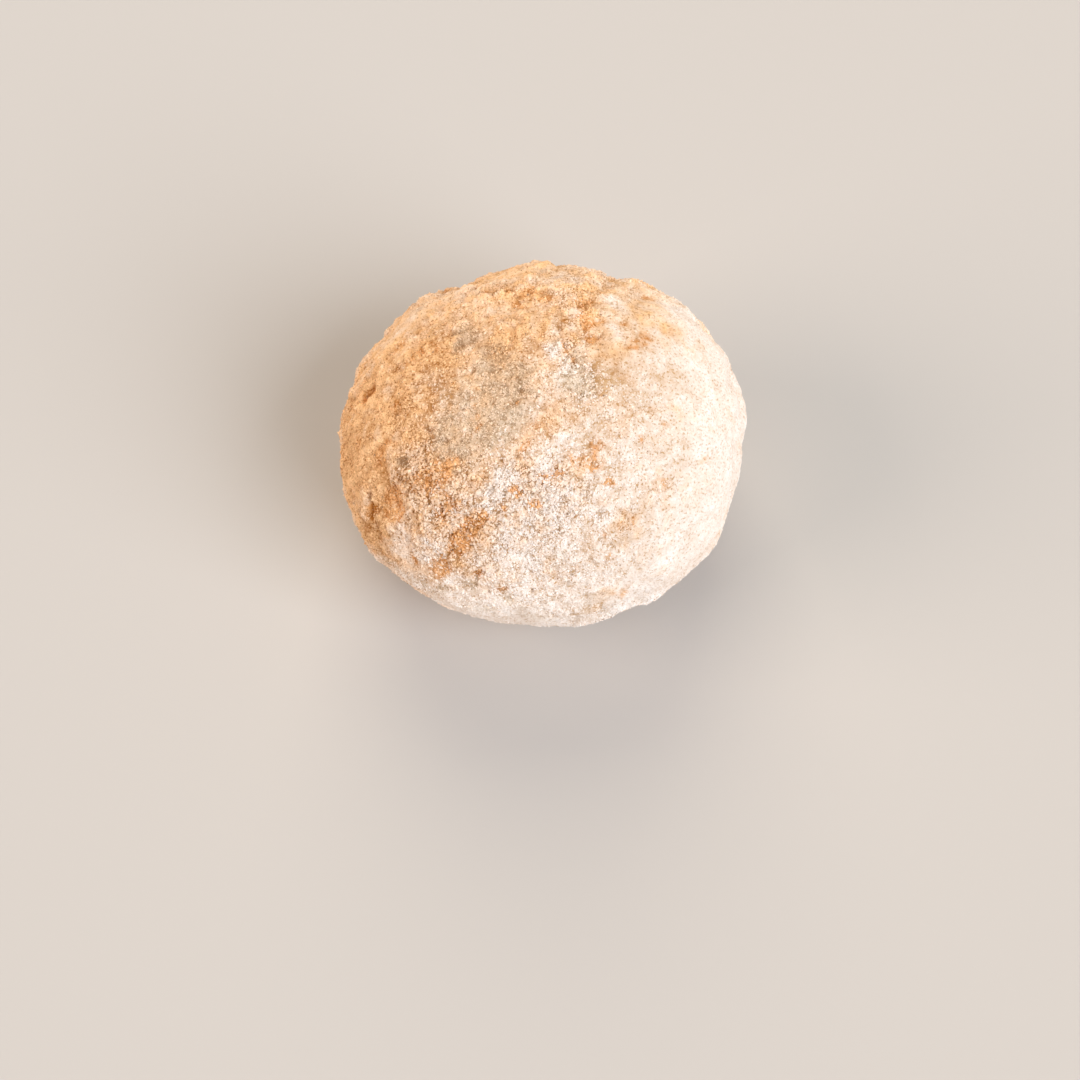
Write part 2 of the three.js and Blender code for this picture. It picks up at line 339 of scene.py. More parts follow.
TONE_SPOTS = [
    (-146, 40, 2, 0.8), (-150, 41, 2.5, 0.4), (146, 66, 3, 0.25), (158, 65, 2, 0.2), (177, 32, 2, 0.6),
    (-147, 20, 2, 0.5), (-142, 26, 4, 0.25), (-131, 43, 6, 0.2), (-123, 35, 2, 0.35), (-118, 30, 2, 0.4),
    (-128, 14, 1.5, 0.5), (-119, 8, 1.5, 0.4), (-111, 13, 1.5, 0.5), (-108, 19, 1.5, 0.4),
    (-99, 9, 2, 0.25), (54, 69, 2.2, 0.3), (46, 69, 1.2, 0.3), (58, 67, 1, 0.25), (47, 73, 1.2, 0.25),
    (38, 73, 1.2, 0.2), (26, 76, 3, 0.2), (12, 75, 2.5, 0.15), (28, 53, 0.8, 0.35), (25, 56, 0.8, 0.25),
    (19, 54, 0.8, 0.35), (15, 53, 0.8, 0.3), (19, 51, 1.2, 0.2), (17, 48, 1.5, 0.2), (50, 55, 1.2, 0.3),
    (30, 68, 1.2, 0.3), (-146, 50, 1.5, 0.5), (-22, 72, 4, 0.15), (95, 8, 2, 0.4), (140, 14, 2, 0.4),
    (-147, 14, 4, 0.3), (-143, 8, 5, 0.25), (-142, 37, 5, 0.3), (-160, 60, 6, 0.2), (-178, 61, 5, 0.2),
    (-166, 53, 5, 0.15), (12, 78, 4, -0.35), (36, 78, 3, -0.2), (-109, 2, 6, -0.3), (130, 62, 6, -0.2),
    (-20, 58, 4, 0.15), (-170, 20, 6, 0.15), (-13, 65, 5, 0.2), (-105, 3, 4, -0.2), (-72, 27, 5, 0.15),
    (-166, 36, 4, 0.15), (-29, 38, 5, 0.12), (-60, 55, 4, 0.12), (57, 70, 3, 0.15), (84, 70, 4, 0.12),
    (-108, 71, 4, 0.15), (-78, 18, 6, 0.12), (-47, 37, 4, 0.1), (101, 41, 5, -0.15), (128, 35, 6, -0.12),
    (-96, 39, 3, -0.1), (157, 26, 6, -0.1), (-140, 20, 2.5, -0.2), (-104, 46, 2.5, -0.15),
    (-92, 68, 4, -0.15), (-22, 44, 4, 0.12), (-175, 38, 6, 0.06), (30, 71, 3, 0.12), (-102, -2, 7, -0.08),
    (114, 52, 1.2, 0.3), (103, 55, 1.2, 0.4), (88, 58, 1.3, 0.4), (79, 60, 1.2, 0.35), (92, 68, 1.4, 0.3),
    (67, 60, 1.2, 0.3), (165, 45, 1.2, 0.3), (163, 54, 1.3, 0.3), (158, 57, 1.5, 0.25),
    (174, 57, 1.5, 0.25), (173, 43, 1.2, 0.25), (-170, 46, 1.5, 0.25), (-57, 43, 0.8, 0.4),
    (-107, 61, 4, 0.2), (-107, 72, 3, 0.12), (-146, 69, 4, 0.1), (-60, 29, 3, 0.15), (-67, 42, 3, 0.12),
    (-2, 45, 4, 0.15), (8, 49, 3, 0.12), (-32, 35, 5, 0.15), (-45, 26, 4, 0.1), (-75, -3, 3, 0.15),
    (5, 60, 6, 0.08), (-40, 55, 8, 0.08), (-143, 33, 3, -0.2), (101, 45, 4, -0.15), (-84, 8, 4, -0.12),
    (-94, 36, 3, -0.12), (93, 38, 7, -0.1), (107, 38, 4, -0.12), (84, 36, 4, -0.1), (-172, 32, 6, -0.1),
    (-105, 3, 5, -0.12), (-127, 21, 4, -0.1), (33, 52, 3, 0.15), (-135, 25, 3, -0.3), (87, 60, 2, 0.15),
    (-112, 34, 1.5, 0.15), (-112, -2, 14, 0.03), (-149, 51, 1.3, 0.15), (-138, 8, 10, 0.06),
    (-60, -6, 11, -0.08),
]

# Corrections to the pale patches and tone spots, each set where a trial of the coat measured too dark, too
# light, too warm or too cold
PALE_CORRECTIONS = [
    (-101, 52, 3, 0.5), (49, 64, 2, 0.5), (-116, -3, 11, 0.7), (-45, 48, 5, 0.35), (-95, 36, 4, 0.3),
    (-75, 33, 4, 0.25), (-44, -5, 10, 0.3), (12, 17, 8, 0.25), (-146, 8, 6, -0.4), (-170, 17, 9, -0.3),
    (9, 53, 5, -0.35), (20, 40, 5, -0.35), (37, 62, 5, -0.3), (29, 46, 5, -0.2), (107, 77, 4, -0.3),
    (153, 79, 5, -0.25), (-130, 25, 4, -0.3), (-140, 36, 4, -0.3), (-115, 22, 4, -0.3), (177, 33, 6, -0.2),
    (-122, 13, 4, -0.2), (-61, 28, 4, -0.25), (-25, 41, 4, -0.35), (-70, 7, 4, -0.25), (-56, 27, 4, -0.2),
    (-33, 25, 5, -0.2), (-131, 30, 4, -0.25), (-134, 15, 3, 0.3), (-133, 2, 6, 0.35), (-85, 74, 4, 0.2),
    (-139, 61, 4, 0.15), (-172, 18, 7, -0.2), (-31, 44, 4, 0.2), (-38, 15, 6, 0.15), (-81, 52, 3, 0.3),
    (-26, 73, 5, 0.3), (-37, 45, 4, 0.25), (-59, 46, 3, 0.2), (-75, 43, 4, 0.2), (-105, 60, 4, 0.2),
    (-144, 19, 4, -0.4), (-154, 33, 5, -0.3), (21, 63, 4, -0.25), (-109, 35, 3, -0.3), (92, 79, 4, -0.2),
    (79, 61, 4, -0.2), (35, 42, 6, -0.35), (5, 41, 6, 0.35), (12, 17, 7, 0.35), (-92, 69, 5, 0.35),
    (-56, 39, 3, 0.3), (-48, 44, 4, 0.3), (-34, 42, 4, 0.3), (-28, 20, 7, 0.3), (-42, 10, 6, 0.3),
    (-115, 22, 3, -0.3), (-105, 38, 4, -0.3), (-139, 37, 4, -0.25), (-146, 9, 5, -0.3), (-130, 24, 4, -0.2),
    (-70, 8, 4, -0.25), (-156, 51, 4, -0.2), (90, 79, 4, -0.2), (-112, 48, 3, -0.25), (-85, 21, 5, -0.3),
    (-70, 28, 4, -0.3), (-26, 84, 4, -0.25), (-71, 7, 4, -0.2), (89, 48, 5, -0.25), (83, 36, 5, -0.2),
    (-107, 30, 4, -0.2), (49, 51, 4, -0.2), (-168, 19, 4, -0.2), (-68, 44, 3, -0.2), (-154, 59, 5, 0.3),
    (106, 65, 4, 0.3), (-39, 64, 4, 0.25), (-39, 35, 4, 0.25), (-136, 13, 4, 0.3), (8, 18, 5, 0.2),
    (-100, -8, 7, 0.25), (-142, 24, 4, -0.2), (177, 18, 6, -0.2), (-74, 0, 4, -0.2), (-101, 20, 3, -0.2),
    (-47, -6, 6, 0.3), (-100, -8, 6, 0.15), (-132, 23, 3, -0.25), (-166, 18, 4, -0.2), (2, 9, 5, 0.2),
    (-21, 7, 5, 0.15), (106, 65, 3, 0.2), (-158, 52, 3, -0.15), (8, 18, 5, 0.35), (2, 9, 5, 0.25),
    (-47, -6, 7, 0.3), (-44, 50, 4, 0.25), (-61, 59, 4, 0.2), (-65, 31, 4, 0.15), (-100, -8, 6, 0.2),
    (-112, -3, 4, 0.15), (-158, 11, 4, -0.15), (22, 38, 3, -0.3), (-46, -5, 6, 0.25), (8, 18, 5, 0.3),
    (-34, 41, 4, 0.25), (-116, 33, 2, 0.2), (-86, 44, 3, 0.15), (-63, 36, 4, 0.15), (-130, 37, 3, 0.15),
    (40, 30, 4, 0.15), (-77, 78, 4, 0.12), (-4, 20, 5, 0.15), (-49, 44, 3, 0.12), (0, 49, 4, 0.15),
    (160, 41, 4, 0.12), (2, 42, 4, 0.15), (-89, 40, 3, -0.12), (-143, 48, 3, -0.15), (-72, 4, 4, -0.15),
    (-59, 53, 3, -0.15), (-168, 18, 4, -0.15), (-68, 43, 3, -0.12), (-52, 49, 3, -0.12),
    (-110, 47, 3, -0.12), (-69, 63, 3, -0.12), (-84, 56, 3, -0.12), (29, 45, 3, -0.12), (-45, -5, 7, 0.3),
    (8, 18, 6, 0.3), (-11, 14, 5, 0.25), (-21, 7, 6, 0.25), (-42, 12, 6, 0.2), (-28, 29, 5, 0.2),
    (-34, 41, 4, 0.2), (-49, 44, 3, 0.15), (2, 9, 6, 0.2), (2, 41, 4, 0.12), (-123, -2, 6, 0.15),
    (-143, 58, 3, 0.15), (-74, 0, 5, -0.2), (-166, 18, 4, -0.2), (19, 41, 3, -0.2), (35, 26, 4, -0.2),
    (60, 39, 4, -0.15), (-73, 54, 3, -0.12), (-76, 36, 3, -0.15), (-45, -5, 8, 0.3), (-21, 7, 6, 0.2),
    (-34, 41, 4, 0.2), (-42, 12, 6, 0.2), (-74, 0, 5, -0.2), (51, 31, 4, -0.15), (-26, 3, 6, 0.2),
    (-48, 45, 3, 0.12), (-60, 54, 3, -0.2), (54, 59, 3, -0.15), (-97, 16, 3, -0.2), (-74, -1, 5, -0.2),
    (-45, -5, 8, 0.25), (8, 18, 6, 0.25), (-34, 41, 4, 0.2), (-42, 12, 6, 0.15), (-21, 7, 6, 0.15),
    (-107, 57, 3, 0.12), (-123, -2, 6, 0.12),
]
TONE_CORRECTIONS = [
    (-115, 23, 4, 0.3), (-111, 35, 3, 0.25), (-151, 32, 4, 0.25), (-14, 64, 5, 0.2), (9, 53, 5, 0.2),
    (-3, 44, 6, 0.2), (-75, -2, 6, 0.2), (-122, 13, 4, 0.15), (-98, 10, 6, -0.25), (-90, 25, 6, -0.25),
    (-77, 41, 4, -0.25), (-80, 52, 3, -0.2), (-96, 37, 4, -0.2), (-76, 32, 4, -0.2), (-105, 46, 3, -0.2),
    (-65, 35, 4, -0.15), (-168, 72, 4, -0.2), (-134, 63, 4, -0.2), (-98, 81, 5, -0.15), (120, 45, 7, -0.2),
    (-160, 14, 4, -0.15), (-117, 50, 3, 0.25), (165, 77, 4, 0.2), (21, 63, 4, 0.2), (149, 61, 4, 0.2),
    (9, 67, 3, 0.15), (-61, 29, 4, 0.2), (-54, 65, 4, 0.15), (-123, 57, 3, 0.15), (-132, 14, 4, -0.2),
    (-139, 30, 3, -0.2), (-106, 16, 4, -0.15), (-70, -8, 6, -0.2), (-102, 50, 3, -0.15),
    (174, 26, 4, -0.15), (-18, 73, 4, -0.25), (-168, 33, 5, 0.15), (-75, -1, 5, 0.15), (-24, 42, 5, 0.15),
    (148, 33, 5, 0.15), (-77, 66, 4, 0.15), (-6, 57, 4, 0.15), (20, 76, 4, -0.2), (-125, 41, 4, -0.2),
    (-84, 43, 4, -0.15), (-146, 44, 3, -0.15), (-136, 26, 3, -0.25), (-116, 34, 2.5, -0.25),
    (-99, 10, 5, -0.2), (-106, 22, 4, -0.15), (40, 76, 3, -0.15), (-146, 53, 3, -0.2), (-88, -7, 6, -0.2),
    (-91, 45, 3, -0.2), (-99, 30, 4, -0.2), (-160, 51, 4, 0.1), (-124, 31, 3, 0.1), (90, 80, 4, 0.2),
    (-124, 32, 2.5, 0.15), (-51, 49, 3, 0.2), (-107, 30, 4, 0.2), (-116, 23, 3, 0.2), (-140, 39, 3, 0.15),
    (180, 61, 4, 0.2), (13, 84, 3, 0.15), (-177, 33, 3, 0.1), (150, 56, 4, 0.15), (-116, 51, 3, 0.15),
    (-159, 61, 4, 0.15), (49, 64, 3, -0.3), (-140, 31, 3, -0.2), (-76, 42, 3, -0.25), (97, 63, 4, -0.2),
    (-86, 44, 2.5, -0.2), (70, 55, 3, -0.25), (-106, 45, 3, -0.25), (160, 38, 4, -0.2),
    (-82, 51, 2.5, -0.15), (-102, 54, 3, -0.2), (-148, 43, 3, -0.2), (-126, 46, 3, -0.15),
    (-65, 52, 3, -0.2), (20, 39, 4, 0.08), (7, 85, 4, 0.15), (-23, 62, 5, 0.15), (-76, 66, 4, 0.2),
    (-48, 67, 4, 0.15), (-59, 57, 3, 0.2), (28, 45, 3, 0.1), (-174, 47, 4, 0.15), (-34, 52, 5, 0.15),
    (-14, 50, 5, 0.15), (-71, 8, 4, 0.15), (-141, 32, 3, -0.15), (-136, 26, 3, -0.15), (-130, 41, 4, -0.15),
    (-122, 21, 4, -0.1), (14, 76, 3, -0.2), (106, 35, 5, -0.15), (-158, 34, 4, -0.15), (-100, 49, 3, -0.1),
    (-96, 40, 3, -0.15), (-116, 41, 2.5, 0.2), (-74, 55, 3, 0.2), (-52, 49, 2.5, 0.15), (172, 67, 4, 0.15),
    (-2, 68, 4, 0.15), (-140, 32, 3.5, -0.3), (-116, 32, 2, -0.25), (-106, 20, 2.5, -0.2),
    (-77, 42, 2.5, -0.15), (106, 67, 3, -0.2), (-116, 11, 4, -0.15), (-43, 57, 3, 0.12),
    (-76, 43, 2.5, -0.1), (97, 63, 1.2, 0.3), (-38, 70, 3, 0.25), (-157, 61, 4, 0.15), (26, 71, 3, 0.15),
    (23, 82, 3, 0.15), (-144, 20, 2.5, 0.2), (-145, 38, 2.5, 0.15), (-91, 45, 2.5, -0.3),
    (-135, 26, 2.5, -0.3), (-126, 45, 2.5, -0.2), (-117, 32, 2.5, -0.2), (-129, 37, 2.5, -0.2),
    (-170, 72, 3, -0.2), (-149, 43, 2.5, -0.15), (-123, 21, 2.5, -0.15), (-142, 14, 3, -0.15),
    (178, 82, 3, -0.15), (70, 56, 4, -0.15), (-38, 75, 3, 0.2), (-21, 63, 4, 0.15), (-166, 15, 3, 0.15),
    (-150, 71, 3, 0.12), (-152, 29, 3, 0.15), (-119, 26, 2.5, 0.12), (-174, 54, 3, 0.12),
    (-136, 56, 3, 0.1), (-20, 53, 4, 0.1), (-159, 51, 3, 0.1), (60, 72, 2, 0.15), (-116, 41, 2.5, 0.12),
    (146, 60, 3, 0.12), (-117, 32, 2, -0.2), (-126, 46, 2.5, -0.2), (87, 37, 4, -0.12), (33, 66, 3, -0.2),
    (-106, 21, 2.5, -0.15), (158, 40, 4, -0.15), (-101, 50, 2.5, -0.15), (156, 70, 3, -0.15),
    (-102, 37, 2.5, -0.12), (-45, 51, 3, -0.15), (-51, 49, 2.5, 0.15), (-80, 66, 3, 0.15),
    (-143, 39, 2.5, 0.15), (-120, 27, 2.5, 0.1), (-56, 65, 3, 0.12), (167, 46, 3, 0.12), (42, 60, 2, 0.12),
    (-110, 18, 2.5, 0.12), (-177, 33, 2, 0.1), (-106, 67, 3, 0.12), (-173, 53, 3, 0.12), (-116, 75, 3, 0.1),
    (-6, 69, 3, 0.1), (-135, 27, 2.5, -0.25), (-145, 33, 3, -0.2), (-130, 40, 2.5, -0.2),
    (-76, 43, 2, -0.15), (-134, 50, 3, -0.15), (-126, 47, 2.5, -0.15), (-115, 35, 2, -0.15),
    (-65, 35, 3, -0.15), (-102, 43, 2, -0.12), (42, 29, 4, -0.15), (-106, 16, 2.5, -0.12),
    (-7, 61, 3, -0.12), (-102, 49, 2, -0.12), (-130, 0, 5, 0.08), (-144, 20, 4, 0.08), (-120, 27, 2, 0.25),
    (-152, 38, 3, 0.12), (-113, 56, 3, 0.1), (-176, 60, 3, 0.12), (119, 59, 3, 0.12), (-77, 78, 3, 0.12),
    (42, 61, 2.5, 0.15), (-134, 34, 2.5, 0.15), (-64, 3, 5, -0.08), (-67, 58, 3, -0.12), (33, 76, 3, -0.12),
    (-135, 27, 3, -0.3), (-123, 32, 2, 0.15), (-143, 39, 2, 0.15), (88, 70, 3, 0.12), (-138, 56, 3, 0.12),
    (-130, 0, 4, 0.08), (-158, 60, 3, 0.1), (-131, 15, 2.5, -0.15), (-2, 73, 3, -0.12),
    (-135, 27, 2.5, -0.2), (57, 57, 3, 0.12), (-48, 82, 3, 0.12), (-120, 27, 2, 0.15),
    (-137, 45, 2.5, 0.15), (127, 76, 3, 0.12), (-123, 12, 2, 0.12), (-110, 18, 2.5, 0.1),
    (-136, 13, 3, 0.1), (172, 40, 3, 0.1), (-135, 27, 2.5, -0.2), (-76, 42, 2, -0.2), (-89, 46, 2.5, -0.3),
    (-91, 36, 2.5, -0.2), (-91, 58, 3, -0.12), (-146, 52, 2, -0.15), (-76, 32, 3, -0.12),
    (-157, 34, 3, -0.1), (-170, 17, 4, -0.12),
]

# Lumps and hollows smaller than the palm's, and small tufts and dents, listed as the palm marks are
FINGER_MARKS = [
    (134, 71, 0.4, 4.5), (115, 73, 0.4, 4), (97, 75, 0.45, 4.5), (65, 73, 0.4, 4), (48, 63, 0.35, 3),
    (15, 73, 0.3, 4), (-5, 66, 0.35, 4), (-31, 62, 0.3, 5), (-150, 14, 0.5, 3.5), (-153, 22, 0.35, 3),
    (-138, 19, 0.4, 3.5), (20, 80, 0.25, 3), (-142, 27, -0.6, 4.5), (-146, 21, -0.4, 2.5),
    (177, 32, -0.4, 2.2), (57, 38, -0.8, 7), (125, 36, -0.5, 6), (159, 28, -0.4, 6), (-11, 10, -0.4, 6),
    (10, 15, -0.35, 6), (1, 6, 0.4, 4), (37, 28, -0.35, 6), (-48, -4, 0.4, 8), (-153, 10, -0.35, 5),
    (134, 30, 0.3, 5), (5, 5, 0.55, 4.5), (15, 9, -0.25, 3), (38, 19, 0.45, 3.5), (62, 15, -0.6, 5),
    (74, 27, -0.35, 4), (87, 30, 0.3, 4), (117, 17, -0.6, 4.5), (148, 13, -0.5, 4), (148, 22, -0.5, 4),
    (158, 18, 0.25, 2.5), (167, 8, -0.5, 3), (167, 16, -0.6, 3), (167, 24, -0.4, 3), (174, 12, 0.25, 2),
    (-158, 2, -0.35, 5), (-148, -3, 0.25, 3), (-95, -18, -0.4, 5), (-54, -16, 0.4, 3.5),
    (-31, -10, 0.55, 5), (64, 24, -0.5, 4.5), (30, 16, -0.5, 3.5), (115, 28, -0.45, 4),
    (167, 14, -0.7, 3.5), (-156, 2, -0.2, 6), (-34, -11, 0.2, 4), (90, 30, 0.45, 1.3), (84, 33, 0.3, 1.5),
    (51, 29, 0.4, 1.6), (144, 24, 0.3, 1.5), (157, 24, 0.35, 1.5), (162, 20, 0.3, 1.6),
    (179, 12, 0.35, 1.4), (-169, 11, 0.3, 1.6), (-164, 7, 0.3, 1.6), (12, 9, 0.25, 2), (66, 33, -0.45, 4),
    (62, 26, -0.25, 3), (178, 10, -0.25, 3), (-129, -11, -0.3, 4), (-38, -12, 0.2, 5), (29, 12, -0.25, 3),
    (29, 20, -0.25, 3), (61, 30, -0.3, 3), (61, 22, -0.25, 3), (67, 27, -0.2, 3), (147, 18, -0.3, 3),
    (147, 27, -0.3, 3), (167, 10, -0.3, 3), (167, 20, -0.3, 3), (-172, 7, -0.25, 3), (-160, 3, -0.2, 4),
    (-124, -12, -0.2, 5), (-91, -18, -0.3, 4),
]

# Corrections to the outline, listed as the finger marks are, each set where a trial measured too full or
# too flat
OUTLINE_CORRECTIONS = [
    (29, 16, -0.4, 3.5), (61, 26, -0.7, 5), (117, 27, -0.7, 4.5), (134, 25, 0.3, 2.5), (-170, 7, -0.3, 5),
    (-118, -14, -0.3, 5), (147, 22, -0.7, 3.5), (-56, -16, 0.25, 3), (-145, -5, 0.25, 3),
    (108, 29, 0.25, 2), (-4, 2, -0.2, 3), (41, 20, 0.25, 2), (-174, 8, -0.3, 3), (-166, 5, -0.2, 3),
    (-73, -18, -0.25, 4), (112, 28, -0.35, 3), (147, 22, -0.45, 3), (167, 15, -0.5, 3), (29, 16, -0.3, 3),
    (4, 5, 0.2, 2.5), (37, 19, 0.25, 2), (84, 30, 0.15, 1.5), (93, 31, 0.15, 1.5), (108, 29, 0.25, 1.6),
    (102, 30, 0.15, 1.4), (134, 25, 0.2, 1.8), (175, 12, 0.15, 1.5), (-76, -18, 0.2, 2.5),
    (-14, -3, 0.2, 4), (-22, -6, 0.1, 3), (-56, -16, 0.15, 3), (75, 28, -0.25, 2.5), (97, 30, -0.2, 1.5),
    (112, 28, -0.2, 2), (117, 27, -0.15, 2.5), (155, 20, -0.25, 2.5), (-177, 10, -0.3, 3),
    (-166, 5, -0.25, 3), (-152, -1, -0.2, 4), (-138, -8, -0.25, 5),
]

# Short cracks, each between two directions: two bearings and heights in degrees, width and depth in mm
CRACKS = [
    (-151, 23, -147, 18, 0.35, 0.8), (-147, 18, -144, 16, 0.35, 0.7), (-144, 15, -142, 11, 0.3, 0.5),
    (-141, 20, -139, 16, 0.3, 0.45), (-153, 51, -143, 51, 0.35, 0.5), (-146, 50, -138, 54, 0.3, 0.25),
    (-111, 19, -106, 20, 0.3, 0.4), (-109, 16, -107, 21, 0.3, 0.4), (-105, 11, -100, 15, 0.3, 0.45),
    (-100, 15, -95, 17, 0.3, 0.35), (-119, 28, -116, 33, 0.35, 0.5), (-125, 37, -122, 33, 0.3, 0.4),
    (-112, 12, -109, 13, 0.3, 0.4), (114, 52, 100, 56, 0.3, 0.35), (100, 56, 84, 59, 0.3, 0.4),
    (102, 64, 94, 64, 0.25, 0.3), (112, 70, 100, 71, 0.25, 0.25), (54, 72, 26, 76, 0.35, 0.3),
    (26, 76, 1, 74, 0.35, 0.35), (18, 67, 24, 62, 0.25, 0.4), (12, 58, 11, 54, 0.3, 0.3),
    (96, 66, 80, 66, 0.35, 0.3), (176, 35, 179, 31, 0.45, 0.9), (140, 22, 152, 18, 0.35, 0.4),
    (80, 12, 92, 16, 0.35, 0.4), (20, 5, 27, 12, 0.3, 0.3),
]


def patches(directions, listed):
    """The sum of the listed patches' bells times their strengths."""
    return sum(strength * bell(directions, around, up, spread) for around, up, spread, strength in listed)


def domes(points, size, salt):
    """Low round heaps of uneven height from 0 to 1: 1 - (distance / 0.95)^2, less for a low number."""
    near, number = heaps(points, size, salt)
    return np.clip(1 - (near / 0.95) ** 2, 0, 1) * (0.35 + 0.65 * number)


def crack_depth(points):
    """Depth in mm of the listed cracks: a bell over the distance from each one's line, cut at its ends."""
    depth = np.zeros(points.shape[:-1])
    for around_a, up_a, around_b, up_b, width, deep in CRACKS:
        start, end = ball_surface(np.stack([direction_of(around_a, up_a), direction_of(around_b, up_b)]))
        along = end - start
        share = np.clip((points - start) @ along / (along @ along), 0, 1)
        away = np.linalg.norm(points - start - share[..., None] * along, axis=-1)
        depth = np.maximum(depth, deep * np.exp(-((away / width) ** 2)))
    return depth


def coat_state(directions):
    """How the coat is in each direction, as named fields.

    height: over the ball in mm. lumpy, calm, grainy, thin, damp, pale, open (the gaps between
    grains): from 0 to 1. tone: 0 deep between the clumps to 1 on top of them, which is partly painted
    shade in the hollows, pits and cracks and painted light on the tops. Damp gathers in the low places
    and cracks, partly as painted shade. Pale is partly painted light: paler on the right and front,
    where the window panel lights it, and warmer on the left. Places are moved by a smooth noise, so
    that no edge is even. Pale streaks run from front to back on the +X side only.
    """
    smooth = ball_surface(directions)
    points = smooth + 0.45 * np.stack([drift(smooth, 1.7, salt) for salt in (11, 17, 23)], -1)
    moved = directions + 0.03 * np.stack([drift(smooth, 2.6, salt) for salt in (29, 31, 37)], -1)
    moved /= np.linalg.norm(moved, axis=-1, keepdims=True)

    calm = ramp(patches(moved, CALM_PATCHES) + 0.25 * drift(points, 4, 107), 0.1, 0.9)
    uneven = 1 + 0.35 * drift(points, 2.4, 41) + 0.8 * drift(points, 0.8, 103)
    thin = ramp(patches(moved, THIN_PATCHES) * uneven, 0.1, 0.95)
    grainy = ramp(patches(moved, GRAINY_PATCHES) + 0.3 * drift(points, 3, 113), 0.1, 0.9)
    grainy *= (1 - calm) * (1 - 0.5 * thin)
    lumpy = (1 - 0.7 * thin) * ramp(0.6 + 0.5 * drift(points, 8, 43) + 0.25 * directions[..., 1], 0.1, 0.9)

    large = domes(points, 3.1, 47)
    middle = domes(points, 1.5, 53)
    small = domes(points, 0.8, 59)
    near, number = heaps(points, 2.6, 61)
    pits = ramp(number, 0.55, 0.9) * np.exp(-((near / 0.22) ** 2)) * (1 - 0.7 * calm)
    cracks = crack_depth(smooth + 0.5 * (points - smooth))
    top = 0.4 * large + 0.35 * middle + 0.25 * small - 0.5 * pits - 0.5 * cracks

    height = 0.4 * drift(points, 6, 67) + 0.14 * drift(points, 2.8, 139)
    height += (0.15 + 0.6 * lumpy) * (1 - 0.5 * calm) * (large - 0.45)
    height += (0.2 + 0.35 * lumpy) * (1 - 0.75 * calm) * (middle - 0.45)
    height += (1 - 0.6 * calm) * (0.16 * (small - 0.45) + 0.12 * drift(points, 0.9, 71))
    height += -0.5 * pits * (1 - 0.5 * thin) - cracks - 0.15 * thin
    marks = FINGER_MARKS + OUTLINE_CORRECTIONS
    height += sum(size * bell(moved, around, up, spread) for around, up, size, spread in marks)
    height *= ramp(smooth[..., 2], 0, BASE_FADE)

    # The tone follows the relief as painted shade and light: darker in the hollows between clumps, in the
    # pits and in the cracks, lighter on the clump tops. The two noises add random tone.
    relief_shade_tone = 1.05 * (top - 0.42) + 0.15 * drift(points, 3.6, 73) + 0.15 * drift(points, 0.8, 79)
    low = ramp(-relief_shade_tone, -0.25, 0.25)
    # Damp is made stronger in the low places and along the cracks, so its orange-brown there is partly real
    # damp and partly painted shade in the hollows.
    field = np.clip(patches(moved, DAMP_PATCHES), 0, 1.5) + 0.15 * drift(points, 3.0, 83)
    field *= 0.65 + 0.7 * low + 0.6 * drift(points, 1.1, 89) + 0.6 * drift(points, 0.6, 127)
    damp = ramp(field + 0.5 * cracks, 0.2, 1.05)
    tone = 0.66 + relief_shade_tone * (1 - 0.6 * calm) + 0.05 * calm + 0.1 * grainy - 0.08 * damp
    tone -= patches(moved, TONE_SPOTS + TONE_CORRECTIONS) * (1 + drift(points, 1.2, 131))
    streaks = drift(points * (1, 0.35, 1), 1.6, 109) * ramp(directions[..., 0], -0.4, 0.3)
    pale = 0.33 + patches(moved, PALE_PATCHES + PALE_CORRECTIONS)
    pale += 0.25 * drift(points, 6, 97) + 0.3 * drift(points, 2.1, 101)
    pale += 0.2 * streaks + 0.25 * drift(points, 1.0, 137)
    return {
        "height": height,
        "lumpy": lumpy,
        "calm": calm,
        "grainy": grainy,
        "open": np.clip(0.25 + 0.75 * grainy - 0.25 * calm + 0.25 * thin, 0, 1),
        "thin": thin,
        "damp": damp,
        "pale": np.clip(pale, 0, 1),
        "tone": np.clip(tone, 0, 1),
    }


coat_directions = folded_square(COAT_CELLS)
coat_states = coat_state(coat_directions)
smooth_ball = ball_surface(coat_directions)
ball_shift = (ball_low + ball_high) / 2 - (smooth_ball.min((0, 1)) + smooth_ball.max((0, 1))) / 2
ball_shift[2] = 0
coat_points = ball_surface(coat_directions, coat_states["height"]) + ball_shift


